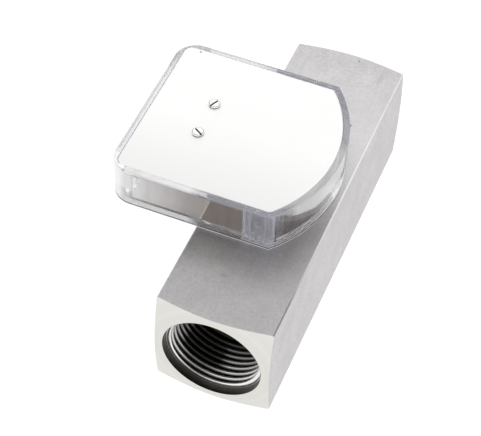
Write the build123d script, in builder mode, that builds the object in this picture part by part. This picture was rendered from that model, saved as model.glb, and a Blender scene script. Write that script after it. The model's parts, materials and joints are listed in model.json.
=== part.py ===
from build123d import *
from math import cos, radians, sin, sqrt, tan
import os

# Variable area flow meter: a square steel bar with a threaded port at each end,
# a spring-loaded float inside its bore, and a clear indicator housing on top.
# The float carries a magnet, and a second magnet under the pointer follows it.
# The bar lies along Y, flow runs towards +Y, and the origin is the middle of its underside.

# Bar: its length follows from what it holds
body_side = 40.0
edge_break = 0.4
end_face_r = 19.0
end_cone_angle = 15.0

# Ports: parallel pipe thread of 33.25 mm, each with a short recess before the first turn
thread_root_r = 16.62
thread_depth = 21.0
port_recess_r = 17.15
port_recess_depth = 2.7

# Bore between the ports
cartridge_r = 14.5
cartridge_lead = 1.0
outlet_passage_r = 12.6
outlet_passage_length = 10.0
slip_fit = 0.05
seat_gap = 0.3
glue_film = 0.05

# Spiders that hold the guide rod, and the ring that keeps them in
spider_thickness = 5.0
spider_wall = 2.2
spider_hub_r = 4.0
spoke_width = 2.0
spoke_count = 3
spring_seat_width = 2.4
ring_setback = 2.8
ring_thickness = 1.2
ring_groove_depth = 0.8
ring_wall = 2.0
ring_opening = 9.0
ring_lug_r = 1.7
ring_lug_hole_r = 0.7

# Metering sleeve: narrow throat at the inlet, wider towards the outlet
sleeve_wall = 2.25
sleeve_taper = 1.7
throat_length = 2.0
seal_wire_r = 0.5
seal_facets = 8
seal_groove_width = 1.4
seal_inset = 3.0

# Guide rod and its nuts
rod_r = 2.0
rod_thread_r = 1.5
nut_across_flats = 5.5
nut_thickness = 2.4
rod_proud = 0.8

# Float
travel = 28.0
float_disc_gap = 0.3
float_edge = 0.5
float_edge_bevel = 0.8
float_nose_r = 4.2
float_nose_length = 5.8
float_stem_r = 3.5
float_can_r = 6.8
float_can_wall = 0.7
float_can_front = 7.9
float_cap_thickness = 2.5
float_cap_plug = 4.5
bush_wall = 0.6
bush_length = 6.0
running_fit = 0.05
magnet_length = 16.0
magnet_end_gap = 0.1

# Return spring round the float
spring_clearance = 0.8
spring_wire_r = 0.5
spring_wire_facets = 6
spring_turns = 8

# Indicator housing, seen from above: three straight sides and one end that is
# an arc about the pointer's pivot, which stands halfway along the float's travel
pivot_x = -30.2
arc_radius = 48.2
housing_half_width = 32.4
housing_back = 22.0
housing_height = 16.0
housing_corner_r = 8.0
nose_corner_r = 1.2
housing_wall = 3.0
top_edge_r = 0.5
corner_post = 8.7
nose_post_length = 9.6
flange_thickness = 1.0
base_thickness = 2.5
cap_skin = 2.0
snug_fit = 0.1

# Face plate let into the top of the cap
plate_rim = 2.2
plate_thickness = 1.0
plate_corner_r = 3.0
plate_bevel = 0.3

# Pillars, bridge and the two slotted screws over them
pillar_spacing = 14.3
pillar_r = 2.8
pillar_spigot_r = 1.6
pillar_spigot_length = 1.3
bridge_thickness = 1.0
bridge_width = 6.4
boss_height = 1.0
boss_r = 3.2
plate_screw_r = 1.25
plate_screw_length = 9.5
plate_screw_head_r = 2.0
plate_screw_head_height = 0.8
plate_screw_slot_width = 0.6
plate_screw_slot_depth = 0.45
plate_screw_slot_angles = (-38.0, 76.0)

# Other fasteners
base_screw_r = 1.5
base_screw_head_r = 2.8
base_screw_reach = 4.0
base_screw_edge_distance = 7.0
base_screw_wall_gap = 2.6
base_screw_spacing_y = 28.0
pin_r = 0.7
pin_in_body = 3.0
pin_in_cap = 5.0
tip_clearance = 0.5

# Pointer, swinging about the pivot
pointer_swing = 64.0
shaft_r = 0.75
bearing_r = 1.9
bearing_flange_r = 2.6
bearing_flange_thickness = 0.5
bearing_end_gap = 0.2
hub_r = 2.4
hub_neck_r = 1.6
hub_cap = 0.7
arm_thickness = 0.5
arm_root_width = 5.0
arm_end_width = 2.4
arm_tail = 11.0
follower_magnet_r = 3.0
follower_magnet_height = 3.0
holder_wall = 1.0
holder_roof = 1.2
magnet_gap = 0.8
counterweight_r = 3.0
counterweight_height = 3.4
flag_clearance = 1.6
flag_post_angle = 1.0
flag_thickness = 0.9
flag_angle = 8.0
flag_floor_gap = 0.4
flag_lug_length = 5.0

# Lengths along the bore, added up from the sizes above
can_bore_length = magnet_length + 2 * magnet_end_gap
can_length = float_can_front + can_bore_length + float_cap_plug
float_length = float_nose_length + float_edge + can_length + float_cap_thickness
sleeve_length = float_length + travel + 2 * seat_gap
cartridge_length = ring_setback + ring_thickness + sleeve_length + 2 * spider_thickness
body_length = 2 * thread_depth + cartridge_length + outlet_passage_length

# Places worked out from the sizes above
bore_z = body_side / 2
end_y = body_length / 2
corner_r = body_side / sqrt(2)
cone_rise = tan(radians(end_cone_angle))
inlet_thread_end = -end_y + thread_depth
outlet_thread_end = end_y - thread_depth
shoulder_y = outlet_thread_end - outlet_passage_length
outlet_spider_y = shoulder_y - spider_thickness
inlet_spider_y = inlet_thread_end + ring_setback + ring_thickness
inlet_face_y = inlet_spider_y + spider_thickness
ring_y = inlet_spider_y - ring_thickness
ring_groove_r = cartridge_r + ring_groove_depth
cartridge_outer_r = cartridge_r - slip_fit
exit_r = cartridge_outer_r - sleeve_wall
throat_r = exit_r - sleeve_taper
spring_r = float_can_r + spring_clearance + spring_wire_r

float_disc_r = throat_r - float_disc_gap
float_back_r = float_disc_r - float_edge_bevel
float_nose_y = inlet_face_y + seat_gap
float_disc_y = float_nose_y + float_nose_length
float_back_y = float_disc_y + float_edge
float_end_y = float_nose_y + float_length
float_magnet_start_y = float_back_y + float_can_front + magnet_end_gap
pivot_y = float_magnet_start_y + magnet_length / 2 + travel / 2
stem_bore_r = rod_r + running_fit + bush_wall

housing_bottom = body_side + glue_film
housing_top = body_side + housing_height
flange_top = body_side + flange_thickness
cap_bottom = flange_top + glue_film
base_top = body_side + base_thickness
cavity_top = housing_top - plate_thickness - cap_skin
bridge_top = cavity_top - boss_height
pillar_top = bridge_top - bridge_thickness
nose_x = pivot_x + sqrt(arc_radius**2 - housing_half_width**2)
back_x = pivot_x - housing_back
flag_radius = arc_radius - housing_wall - flag_clearance
post_sweep = radians(pointer_swing / 2 + flag_angle / 2 + flag_post_angle)
nose_post_width = housing_half_width - flag_radius * sin(post_sweep)
back_post_x = back_x + corner_post / 2
back_post_y = housing_half_width - corner_post / 2
nose_post_x = nose_x - nose_post_length / 2
nose_post_y = housing_half_width - nose_post_width / 2
pillar_points = [(pivot_x, pivot_y - pillar_spacing / 2), (pivot_x, pivot_y + pillar_spacing / 2)]
base_screw_circle_r = arc_radius - housing_wall - base_screw_wall_gap - base_screw_head_r
base_screw_far_x = pivot_x + sqrt(base_screw_circle_r**2 - (base_screw_spacing_y / 2) ** 2)
base_screw_xs = [base_screw_edge_distance - body_side / 2, base_screw_far_x]
base_screw_ys = [pivot_y + side * base_screw_spacing_y / 2 for side in (-1, 1)]
base_screw_points = [(x, y) for x in base_screw_xs for y in base_screw_ys]
back_post_points = [(back_post_x, pivot_y - back_post_y), (back_post_x, pivot_y + back_post_y)]
pin_points = [(nose_post_x, pivot_y - nose_post_y), (nose_post_x, pivot_y + nose_post_y)]

rest_angle = -pointer_swing / 2
follower_radius = travel / 2 / sin(radians(pointer_swing / 2))
magnet_bottom = base_top + magnet_gap
holder_top = magnet_bottom + follower_magnet_height + holder_roof
arm_top = holder_top + arm_thickness
bearing_bottom = flange_top
shaft_bottom = bearing_bottom + bearing_end_gap

flow_axis = Axis((0, 0, bore_z), (0, 1, 0))
flow_plane = Plane(origin=(0, 0, bore_z), x_dir=(0, 1, 0), z_dir=(1, 0, 0))


def across_flow(y):
    """A plane square to the bore, at the given place along it."""
    return Plane(origin=(0, y, bore_z), x_dir=(1, 0, 0), z_dir=(0, 1, 0))


def pointer_plane(height):
    """A level plane with its origin on the pivot and its X axis along the resting pointer."""
    turn = radians(rest_angle)
    return Plane(origin=(pivot_x, pivot_y, height), x_dir=(cos(turn), sin(turn), 0), z_dir=(0, 0, 1))


def turned(outline, mode=Mode.ADD):
    """Turn an outline of (place along the bore, radius) points about the bore."""
    with BuildSketch(flow_plane) as section:
        with BuildLine():
            Polyline(*outline, close=True)
        make_face()
    revolve(section.sketch, axis=flow_axis, mode=mode)


def turned_upright(outline, point, mode=Mode.ADD):
    """Turn an outline of (radius, height) points about an upright axis through the point."""
    x, y = point
    upright = Plane(origin=(x, y, 0), x_dir=(1, 0, 0), z_dir=(0, -1, 0))
    with BuildSketch(upright) as section:
        with BuildLine():
            Polyline(*outline, close=True)
        make_face()
    revolve(section.sketch, axis=Axis((x, y, 0), (0, 0, 1)), mode=mode)


def housing_shape(height, inset, back_corner_r, arc_corner_r):
    """The housing's outline, moved inwards by an inset, as a sketch at the given height."""
    half = housing_half_width - inset
    left = back_x + inset
    reach = arc_radius - inset
    length = pivot_x + reach - left
    with BuildSketch(Plane.XY.offset(height)) as shape:
        with Locations((left + length / 2, pivot_y)):
            Rectangle(length, 2 * half)
        with Locations((pivot_x, pivot_y)):
            Circle(reach, mode=Mode.INTERSECT)
        corners = shape.vertices().sort_by(Axis.X)
        fillet([v for v in corners[2:] if abs(v.Y - pivot_y) > half / 2], radius=arc_corner_r)
        fillet(shape.vertices().sort_by(Axis.X)[:2], radius=back_corner_r)
    return shape.sketch


# Bar with its two ports and the bore for the metering parts
with BuildPart() as meter_body:
    with BuildSketch(across_flow(-end_y)):
        Rectangle(body_side, body_side)
    extrude(amount=body_length)
    chamfer(meter_body.edges().filter_by(Axis.Y), length=edge_break)
    cone_y = end_y - (corner_r - end_face_r) * cone_rise
    turned(
        [(-end_y, 0), (-end_y, end_face_r), (-cone_y, corner_r), (cone_y, corner_r), (end_y, end_face_r), (end_y, 0)],
        mode=Mode.INTERSECT,
    )
    turned(
        [
            (-end_y, 0),
            (-end_y, port_recess_r),
            (-end_y + port_recess_depth, port_recess_r),
            (-end_y + port_recess_depth, thread_root_r),
            (inlet_thread_end, thread_root_r),
            (inlet_thread_end, cartridge_r + cartridge_lead),
            (inlet_thread_end + cartridge_lead, cartridge_r),
            (ring_y, cartridge_r),
            (ring_y, ring_groove_r),
            (inlet_spider_y, ring_groove_r),
            (inlet_spider_y, cartridge_r),
            (shoulder_y, cartridge_r),
            (shoulder_y, outlet_passage_r),
            (outlet_thread_end, outlet_passage_r),
            (outlet_thread_end, thread_root_r),
            (end_y - port_recess_depth, thread_root_r),
            (end_y - port_recess_depth, port_recess_r),
            (end_y, port_recess_r),
            (end_y, 0),
        ],
        mode=Mode.SUBTRACT,
    )
    with BuildSketch(Plane.XY.offset(body_side)):
        with Locations(*base_screw_points):
            Circle(base_screw_r + slip_fit)
    extrude(amount=-(base_screw_reach + tip_clearance), mode=Mode.SUBTRACT)
    with BuildSketch(Plane.XY.offset(body_side)):
        with Locations(*pin_points):
            Circle(pin_r + slip_fit)
    extrude(amount=-pin_in_body, mode=Mode.SUBTRACT)

# Spider at the inlet: a rim, three spokes and the hub that holds the guide rod
with BuildPart() as inlet_spider:
    with BuildSketch(across_flow(inlet_spider_y)):
        Circle(cartridge_outer_r)
        Circle(cartridge_outer_r - spider_wall, mode=Mode.SUBTRACT)
        Circle(spider_hub_r)
        spoke_length = cartridge_outer_r - spider_wall / 2
        with PolarLocations(spoke_length / 2, spoke_count, start_angle=90):
            Rectangle(spoke_length, spoke_width)
        Circle(rod_thread_r + slip_fit, mode=Mode.SUBTRACT)
    extrude(amount=spider_thickness)

# Spider at the outlet: as the inlet's, with a ring between rim and hub as the spring's seat
with BuildPart() as outlet_spider:
    with BuildSketch(across_flow(outlet_spider_y)):
        Circle(cartridge_outer_r)
        Circle(cartridge_outer_r - spider_wall, mode=Mode.SUBTRACT)
        Circle(spring_r + spring_seat_width / 2)
        Circle(spring_r - spring_seat_width / 2, mode=Mode.SUBTRACT)
        Circle(spider_hub_r)
        with PolarLocations(spoke_length / 2, spoke_count, start_angle=90):
            Rectangle(spoke_length, spoke_width)
        Circle(rod_thread_r + slip_fit, mode=Mode.SUBTRACT)
    extrude(amount=spider_thickness)

# Spring ring in the bore's groove, open on one side and with two lugs for pliers
with BuildPart() as retaining_ring:
    with BuildSketch(across_flow(ring_y)):
        ring_outer_r = ring_groove_r - slip_fit
        ring_mid_r = ring_outer_r - ring_wall / 2
        Circle(ring_outer_r)
        Circle(ring_outer_r - ring_wall, mode=Mode.SUBTRACT)
        with Locations((0, ring_mid_r)):
            Rectangle(ring_opening, 2 * ring_wall, mode=Mode.SUBTRACT)
        lug_x = ring_opening / 2 + ring_lug_r / 2
        lug_y = ring_outer_r - ring_wall - ring_lug_r / 2
        with Locations((-lug_x, lug_y), (lug_x, lug_y)):
            Circle(ring_lug_r)
            Circle(ring_lug_hole_r, mode=Mode.SUBTRACT)
    extrude(amount=ring_thickness)

# Sleeve whose bore widens along the float's travel
with BuildPart() as metering_sleeve:
    seal_ys = (inlet_face_y + seal_inset, outlet_spider_y - seal_inset)
    throat_start_y = float_disc_y - throat_length / 2
    throat_end_y = float_disc_y + throat_length / 2
    exit_y = throat_end_y + travel
    turned(
        [
            (inlet_face_y, exit_r),
            (inlet_face_y, cartridge_outer_r),
            (outlet_spider_y, cartridge_outer_r),
            (outlet_spider_y, exit_r),
            (exit_y, exit_r),
            (throat_end_y, throat_r),
            (throat_start_y, throat_r),
        ]
    )
    seal_floor_r = cartridge_r - 2 * (seal_wire_r + slip_fit)
    for seal_y in seal_ys:
        groove_start = seal_y - seal_groove_width / 2
        groove_end = seal_y + seal_groove_width / 2
        turned(
            [
                (groove_start, seal_floor_r),
                (groove_end, seal_floor_r),
                (groove_end, cartridge_r),
                (groove_start, cartridge_r),
            ],
            mode=Mode.SUBTRACT,
        )

# Two rubber rings in the sleeve's grooves
with BuildPart() as sleeve_seals:
    seal_centre_r = cartridge_r - slip_fit - seal_wire_r
    with BuildSketch(flow_plane) as seal_sections:
        with Locations(*[(seal_y, seal_centre_r) for seal_y in seal_ys]):
            RegularPolygon(seal_wire_r, seal_facets, major_radius=False, rotation=180 / seal_facets)
    revolve(seal_sections.sketch, axis=flow_axis)

# Rod that guides the float, with a thinner threaded end through each hub
rod_start_y = inlet_spider_y - nut_thickness - rod_proud
rod_end_y = shoulder_y + nut_thickness + rod_proud
with BuildPart() as guide_rod:
    turned(
        [
            (rod_start_y, 0),
            (rod_start_y, rod_thread_r),
            (inlet_face_y, rod_thread_r),
            (inlet_face_y, rod_r),
            (outlet_spider_y, rod_r),
            (outlet_spider_y, rod_thread_r),
            (rod_end_y, rod_thread_r),
            (rod_end_y, 0),
        ]
    )

# Hexagon nuts outside the two hubs
with BuildPart() as rod_nuts:
    for nut_y in (inlet_spider_y - nut_thickness, shoulder_y):
        with BuildSketch(across_flow(nut_y)):
            RegularPolygon(nut_across_flats / 2, 6, major_radius=False)
            Circle(rod_thread_r + slip_fit / 2, mode=Mode.SUBTRACT)
        extrude(amount=nut_thickness)

# Float: nose cone, sharp metering edge and the hollow stem that slides on the rod
with BuildPart() as float_body:
    turned(
        [
            (float_nose_y, stem_bore_r),
            (float_nose_y, float_nose_r),
            (float_disc_y, float_disc_r),
            (float_back_y, float_back_r),
            (float_back_y, float_stem_r),
            (float_end_y, float_stem_r),
            (float_end_y, stem_bore_r),
        ]
    )

# Ring magnet on the stem
with BuildPart() as float_magnet:
    magnet_outer_r = float_can_r - float_can_wall - slip_fit
    with BuildSketch(across_flow(float_magnet_start_y)):
        Circle(magnet_outer_r)
        Circle(float_stem_r + slip_fit, mode=Mode.SUBTRACT)
    extrude(amount=magnet_length)

# Thin can round the magnet, from the disc's back face to the cap
with BuildPart() as float_can:
    can_bore_r = float_can_r - float_can_wall
    turned(
        [
            (float_back_y, float_stem_r + slip_fit),
            (float_back_y, float_can_r),
            (float_end_y - float_cap_thickness, float_can_r),
            (float_end_y - float_cap_thickness, can_bore_r),
            (float_back_y + float_can_front, can_bore_r),
            (float_back_y + float_can_front, float_stem_r + slip_fit),
        ]
    )

# Cap that plugs the can's open end
with BuildPart() as float_cap:
    cap_plug_y = float_end_y - float_cap_thickness - float_cap_plug
    turned(
        [
            (cap_plug_y, float_stem_r + slip_fit),
            (cap_plug_y, can_bore_r - slip_fit),
            (float_end_y - float_cap_thickness, can_bore_r - slip_fit),
            (float_end_y - float_cap_thickness, float_can_r),
            (float_end_y - float_can_wall, float_can_r),
            (float_end_y, float_can_r - float_can_wall),
            (float_end_y, float_stem_r + slip_fit),
        ]
    )

# Plain bearings in the two ends of the stem
with BuildPart() as float_bushes:
    for bush_y in (float_nose_y, float_end_y - bush_length):
        with BuildSketch(across_flow(bush_y)):
            Circle(stem_bore_r - slip_fit / 2)
            Circle(rod_r + running_fit, mode=Mode.SUBTRACT)
        extrude(amount=bush_length)

# Spring between the float's disc and the outlet spider
with BuildPart() as return_spring:
    spring_start_y = float_back_y + seat_gap + spring_wire_r
    spring_length = outlet_spider_y - spring_wire_r - spring_start_y
    with BuildLine() as coil:
        Helix(
            pitch=spring_length / spring_turns,
            height=spring_length,
            radius=spring_r,
            center=(0, spring_start_y, bore_z),
            direction=(0, 1, 0),
        )
    with BuildSketch(Plane(origin=coil.line @ 0, z_dir=coil.line % 0)):
        RegularPolygon(spring_wire_r, spring_wire_facets)
    sweep(is_frenet=True)

# Clear base: a thin flange under the cap's wall and a raised floor inside it
with BuildPart() as housing_base:
    flange = housing_shape(housing_bottom, 0, housing_corner_r, nose_corner_r)
    extrude(flange, amount=flange_top - housing_bottom)
    floor_inset = housing_wall + snug_fit
    floor_corner_r = housing_corner_r - housing_wall
    extrude(housing_shape(flange_top, floor_inset, floor_corner_r, nose_corner_r), amount=base_top - flange_top)
    head_drop = base_screw_head_r - base_screw_r
    for point in base_screw_points:
        turned_upright(
            [
                (0, body_side),
                (base_screw_r + snug_fit, body_side),
                (base_screw_r + snug_fit, base_top - head_drop),
                (base_screw_head_r + snug_fit, base_top),
                (0, base_top),
            ],
            point,
            mode=Mode.SUBTRACT,
        )
    with BuildSketch(Plane.XY.offset(body_side)):
        with Locations(*pin_points):
            Circle(pin_r + slip_fit)
    extrude(amount=base_thickness, mode=Mode.SUBTRACT)
    with BuildSketch(Plane.XY.offset(base_top)):
        with Locations(*pillar_points):
            Circle(pillar_spigot_r + slip_fit)
    extrude(amount=-pillar_spigot_length, mode=Mode.SUBTRACT)
    with BuildSketch(Plane.XY.offset(base_top)):
        with Locations((pivot_x, pivot_y)):
            Circle(bearing_r + slip_fit)
    extrude(amount=bearing_bottom - base_top, mode=Mode.SUBTRACT)

# Clear cap: walls, four solid corner posts and a top skin with a recess for the plate
with BuildPart() as housing_cap:
    outside = housing_shape(cap_bottom, 0, housing_corner_r, nose_corner_r)
    extrude(outside, amount=housing_top - cap_bottom)
    fillet(housing_cap.edges().group_by(Axis.Z)[-1], radius=top_edge_r)
    cavity = housing_shape(cap_bottom, housing_wall, floor_corner_r, nose_corner_r)
    extrude(cavity, amount=cavity_top - cap_bottom, mode=Mode.SUBTRACT)
    post_bottom = base_top + snug_fit
    with BuildSketch(Plane.XY.offset(post_bottom)) as posts:
        with Locations(*back_post_points):
            Rectangle(corner_post, corner_post)
        with Locations(*pin_points):
            Rectangle(nose_post_length, nose_post_width)
        add(housing_shape(post_bottom, housing_wall / 2, housing_corner_r, nose_corner_r), mode=Mode.INTERSECT)
    extrude(posts.sketch, amount=cavity_top - post_bottom)
    with BuildSketch(Plane.XY.offset(bridge_top)):
        with Locations(*pillar_points):
            Circle(boss_r)
    extrude(amount=boss_height)
    recess = housing_shape(housing_top, plate_rim, plate_corner_r, nose_corner_r)
    extrude(recess, amount=-plate_thickness, mode=Mode.SUBTRACT)
    with BuildSketch(Plane.XY.offset(bridge_top)):
        with Locations(*pillar_points):
            Circle(plate_screw_r + snug_fit)
    extrude(amount=housing_height, mode=Mode.SUBTRACT)
    hole_start = post_bottom - cap_bottom
    with BuildSketch(Plane.XY.offset(cap_bottom)):
        with Locations(*pin_points):
            Circle(pin_r + slip_fit)
    extrude(amount=hole_start + pin_in_cap + tip_clearance, mode=Mode.SUBTRACT)

# Blank metal face plate, flush with the cap's rim
with BuildPart() as face_plate:
    plate_inset = plate_rim + snug_fit
    plate_bottom = housing_top - plate_thickness + glue_film
    plate_blank = housing_shape(plate_bottom, plate_inset, plate_corner_r, nose_corner_r)
    extrude(plate_blank, amount=plate_thickness)
    chamfer(face_plate.edges().group_by(Axis.Z)[-1], length=plate_bevel)
    with BuildSketch(Plane.XY.offset(plate_bottom)):
        with Locations(*pillar_points):
            Circle(plate_screw_r + snug_fit)
    extrude(amount=plate_thickness, mode=Mode.SUBTRACT)

# Two pillars that carry the bridge and take the plate's screws
with BuildPart() as pillars:
    pillar_hole_bottom = housing_top - plate_screw_length - tip_clearance
    for point in pillar_points:
        turned_upright(
            [
                (0, base_top - pillar_spigot_length),
                (pillar_spigot_r, base_top - pillar_spigot_length),
                (pillar_spigot_r, base_top),
                (pillar_r, base_top),
                (pillar_r, pillar_top),
                (plate_screw_r + slip_fit, pillar_top),
                (plate_screw_r + slip_fit, pillar_hole_bottom),
                (0, pillar_hole_bottom),
            ],
            point,
        )

# Strip across the pillars that holds the upper bearing
with BuildPart() as pivot_bridge:
    with BuildSketch(Plane.XY.offset(pillar_top)):
        with Locations((pivot_x, pivot_y)):
            SlotCenterToCenter(pillar_spacing, bridge_width, rotation=90)
            Circle(bearing_r + slip_fit, mode=Mode.SUBTRACT)
        with Locations(*pillar_points):
            Circle(plate_screw_r + snug_fit, mode=Mode.SUBTRACT)
    extrude(amount=bridge_thickness)

# Slotted screws through plate, cap and bridge into the pillars
with BuildPart() as plate_screws:
    plate_top = plate_bottom + plate_thickness
    for point, slot_angle in zip(pillar_points, plate_screw_slot_angles):
        turned_upright(
            [
                (0, housing_top - plate_screw_length),
                (plate_screw_r, housing_top - plate_screw_length),
                (plate_screw_r, plate_top),
                (plate_screw_head_r, plate_top),
                (plate_screw_head_r, plate_top + plate_screw_head_height),
                (0, plate_top + plate_screw_head_height),
            ],
            point,
        )
        with BuildSketch(Plane.XY.offset(plate_top + plate_screw_head_height)):
            with Locations(point):
                Rectangle(2 * plate_screw_head_r, plate_screw_slot_width, rotation=slot_angle)
        extrude(amount=-plate_screw_slot_depth, mode=Mode.SUBTRACT)

# Countersunk screws that hold the base to the bar
with BuildPart() as base_screws:
    for point in base_screw_points:
        turned_upright(
            [
                (0, body_side - base_screw_reach),
                (base_screw_r, body_side - base_screw_reach),
                (base_screw_r, base_top - head_drop),
                (base_screw_head_r, base_top),
                (0, base_top),
            ],
            point,
        )

# Pins that locate the cap's two front posts on the bar
with BuildPart() as locating_pins:
    with BuildSketch(Plane.XY.offset(body_side - pin_in_body)):
        with Locations(*pin_points):
            Circle(pin_r)
    extrude(amount=pin_in_body + base_thickness + snug_fit + pin_in_cap)

# Bearings of the pointer's shaft, in the base and in the bridge
with BuildPart() as lower_bearing:
    turned_upright(
        [
            (shaft_r + running_fit, bearing_bottom),
            (bearing_r, bearing_bottom),
            (bearing_r, base_top),
            (bearing_flange_r, base_top),
            (bearing_flange_r, base_top + bearing_flange_thickness),
            (shaft_r + running_fit, base_top + bearing_flange_thickness),
        ],
        (pivot_x, pivot_y),
    )
with BuildPart() as upper_bearing:
    turned_upright(
        [
            (shaft_r + running_fit, pillar_top - bearing_flange_thickness),
            (bearing_flange_r, pillar_top - bearing_flange_thickness),
            (bearing_flange_r, pillar_top),
            (bearing_r, pillar_top),
            (bearing_r, bridge_top),
            (shaft_r + running_fit, bridge_top),
        ],
        (pivot_x, pivot_y),
    )

# Pointer's shaft
with BuildPart() as pointer_shaft:
    with BuildSketch(pointer_plane(shaft_bottom)):
        Circle(shaft_r)
    extrude(amount=bridge_top - bearing_end_gap - shaft_bottom)

# Brass hub on the shaft, with a shoulder under the arm
with BuildPart() as pointer_hub:
    hub_bottom = base_top + bearing_flange_thickness + bearing_end_gap
    turned_upright(
        [
            (shaft_r + slip_fit / 2, hub_bottom),
            (hub_r, hub_bottom),
            (hub_r, holder_top),
            (hub_neck_r, holder_top),
            (hub_neck_r, arm_top + hub_cap),
            (shaft_r + slip_fit / 2, arm_top + hub_cap),
        ],
        (pivot_x, pivot_y),
    )

# Flat arm that tapers from the hub to the flag
with BuildPart() as pointer_arm:
    with BuildSketch(pointer_plane(holder_top)):
        with BuildLine():
            Polyline(
                (-arm_tail, -arm_end_width),
                (0, -arm_root_width / 2),
                (flag_radius - flag_thickness, -arm_end_width / 2),
                (flag_radius - flag_thickness, arm_end_width / 2),
                (0, arm_root_width / 2),
                (-arm_tail, arm_end_width),
                close=True,
            )
        make_face()
        Circle(hub_neck_r + slip_fit, mode=Mode.SUBTRACT)
    extrude(amount=arm_thickness)

# Upright flag at the arm's end, read through the curved wall
with BuildPart() as pointer_flag:
    flag_bottom = base_top + flag_floor_gap
    flag_half = flag_radius * sin(radians(flag_angle / 2))
    with BuildSketch(pointer_plane(flag_bottom)):
        Circle(flag_radius)
        Circle(flag_radius - flag_thickness, mode=Mode.SUBTRACT)
        with Locations((flag_radius, 0)):
            Rectangle(4 * flag_thickness, 2 * flag_half, mode=Mode.INTERSECT)
    extrude(amount=arm_top + arm_thickness - flag_bottom)
    with BuildSketch(pointer_plane(arm_top)):
        with Locations((flag_radius - flag_thickness - flag_lug_length / 2, 0)):
            Rectangle(flag_lug_length + flag_thickness, arm_end_width)
    extrude(amount=arm_thickness)

# Cup under the arm and the magnet that it holds over the bore
with BuildPart() as magnet_holder:
    with BuildSketch(pointer_plane(magnet_bottom)):
        with Locations((follower_radius, 0)):
            Circle(follower_magnet_r + holder_wall)
            Circle(follower_magnet_r + slip_fit, mode=Mode.SUBTRACT)
    extrude(amount=follower_magnet_height)
    with BuildSketch(pointer_plane(holder_top - holder_roof)):
        with Locations((follower_radius, 0)):
            Circle(follower_magnet_r + holder_wall)
    extrude(amount=holder_roof)
with BuildPart() as follower_magnet:
    with BuildSketch(pointer_plane(magnet_bottom)):
        with Locations((follower_radius, 0)):
            Circle(follower_magnet_r)
    extrude(amount=follower_magnet_height)

# Counterweight under the arm's tail
with BuildPart() as counterweight:
    with BuildSketch(pointer_plane(holder_top - counterweight_height)):
        with Locations((counterweight_r - arm_tail, 0)):
            Circle(counterweight_r)
    extrude(amount=counterweight_height)

os.makedirs("parts", exist_ok=True)
meter_body.part.label = "meter_body"
export_step(meter_body.part, "parts/meter_body.step")
inlet_spider.part.label = "inlet_spider"
export_step(inlet_spider.part, "parts/inlet_spider.step")
outlet_spider.part.label = "outlet_spider"
export_step(outlet_spider.part, "parts/outlet_spider.step")
retaining_ring.part.label = "retaining_ring"
export_step(retaining_ring.part, "parts/retaining_ring.step")
metering_sleeve.part.label = "metering_sleeve"
export_step(metering_sleeve.part, "parts/metering_sleeve.step")
sleeve_seals.part.label = "sleeve_seals"
export_step(sleeve_seals.part, "parts/sleeve_seals.step")
guide_rod.part.label = "guide_rod"
export_step(guide_rod.part, "parts/guide_rod.step")
rod_nuts.part.label = "rod_nuts"
export_step(rod_nuts.part, "parts/rod_nuts.step")
float_body.part.label = "float_body"
export_step(float_body.part, "parts/float_body.step")
float_magnet.part.label = "float_magnet"
export_step(float_magnet.part, "parts/float_magnet.step")
float_can.part.label = "float_can"
export_step(float_can.part, "parts/float_can.step")
float_cap.part.label = "float_cap"
export_step(float_cap.part, "parts/float_cap.step")
float_bushes.part.label = "float_bushes"
export_step(float_bushes.part, "parts/float_bushes.step")
return_spring.part.label = "return_spring"
export_step(return_spring.part, "parts/return_spring.step")
housing_base.part.label = "housing_base"
export_step(housing_base.part, "parts/housing_base.step")
housing_cap.part.label = "housing_cap"
export_step(housing_cap.part, "parts/housing_cap.step")
face_plate.part.label = "face_plate"
export_step(face_plate.part, "parts/face_plate.step")
pillars.part.label = "pillars"
export_step(pillars.part, "parts/pillars.step")
pivot_bridge.part.label = "pivot_bridge"
export_step(pivot_bridge.part, "parts/pivot_bridge.step")
plate_screws.part.label = "plate_screws"
export_step(plate_screws.part, "parts/plate_screws.step")
base_screws.part.label = "base_screws"
export_step(base_screws.part, "parts/base_screws.step")
locating_pins.part.label = "locating_pins"
export_step(locating_pins.part, "parts/locating_pins.step")
lower_bearing.part.label = "lower_bearing"
export_step(lower_bearing.part, "parts/lower_bearing.step")
upper_bearing.part.label = "upper_bearing"
export_step(upper_bearing.part, "parts/upper_bearing.step")
pointer_shaft.part.label = "pointer_shaft"
export_step(pointer_shaft.part, "parts/pointer_shaft.step")
pointer_hub.part.label = "pointer_hub"
export_step(pointer_hub.part, "parts/pointer_hub.step")
pointer_arm.part.label = "pointer_arm"
export_step(pointer_arm.part, "parts/pointer_arm.step")
pointer_flag.part.label = "pointer_flag"
export_step(pointer_flag.part, "parts/pointer_flag.step")
magnet_holder.part.label = "magnet_holder"
export_step(magnet_holder.part, "parts/magnet_holder.step")
follower_magnet.part.label = "follower_magnet"
export_step(follower_magnet.part, "parts/follower_magnet.step")
counterweight.part.label = "counterweight"
export_step(counterweight.part, "parts/counterweight.step")
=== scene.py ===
# %% [markdown]
# # A variable area flow meter
# A square steel bar has a threaded port at each end. A float inside it is lifted by the flow
# against a spring, and a magnet in the float pulls a pointer round in the clear housing on top.
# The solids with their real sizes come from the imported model. This lesson gives them their
# finishes and makes what the solids leave out: threads, a closed spring and finer screws.

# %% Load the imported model
import json
import math

import bmesh
import bpy
from mathutils import Matrix, Vector


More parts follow.
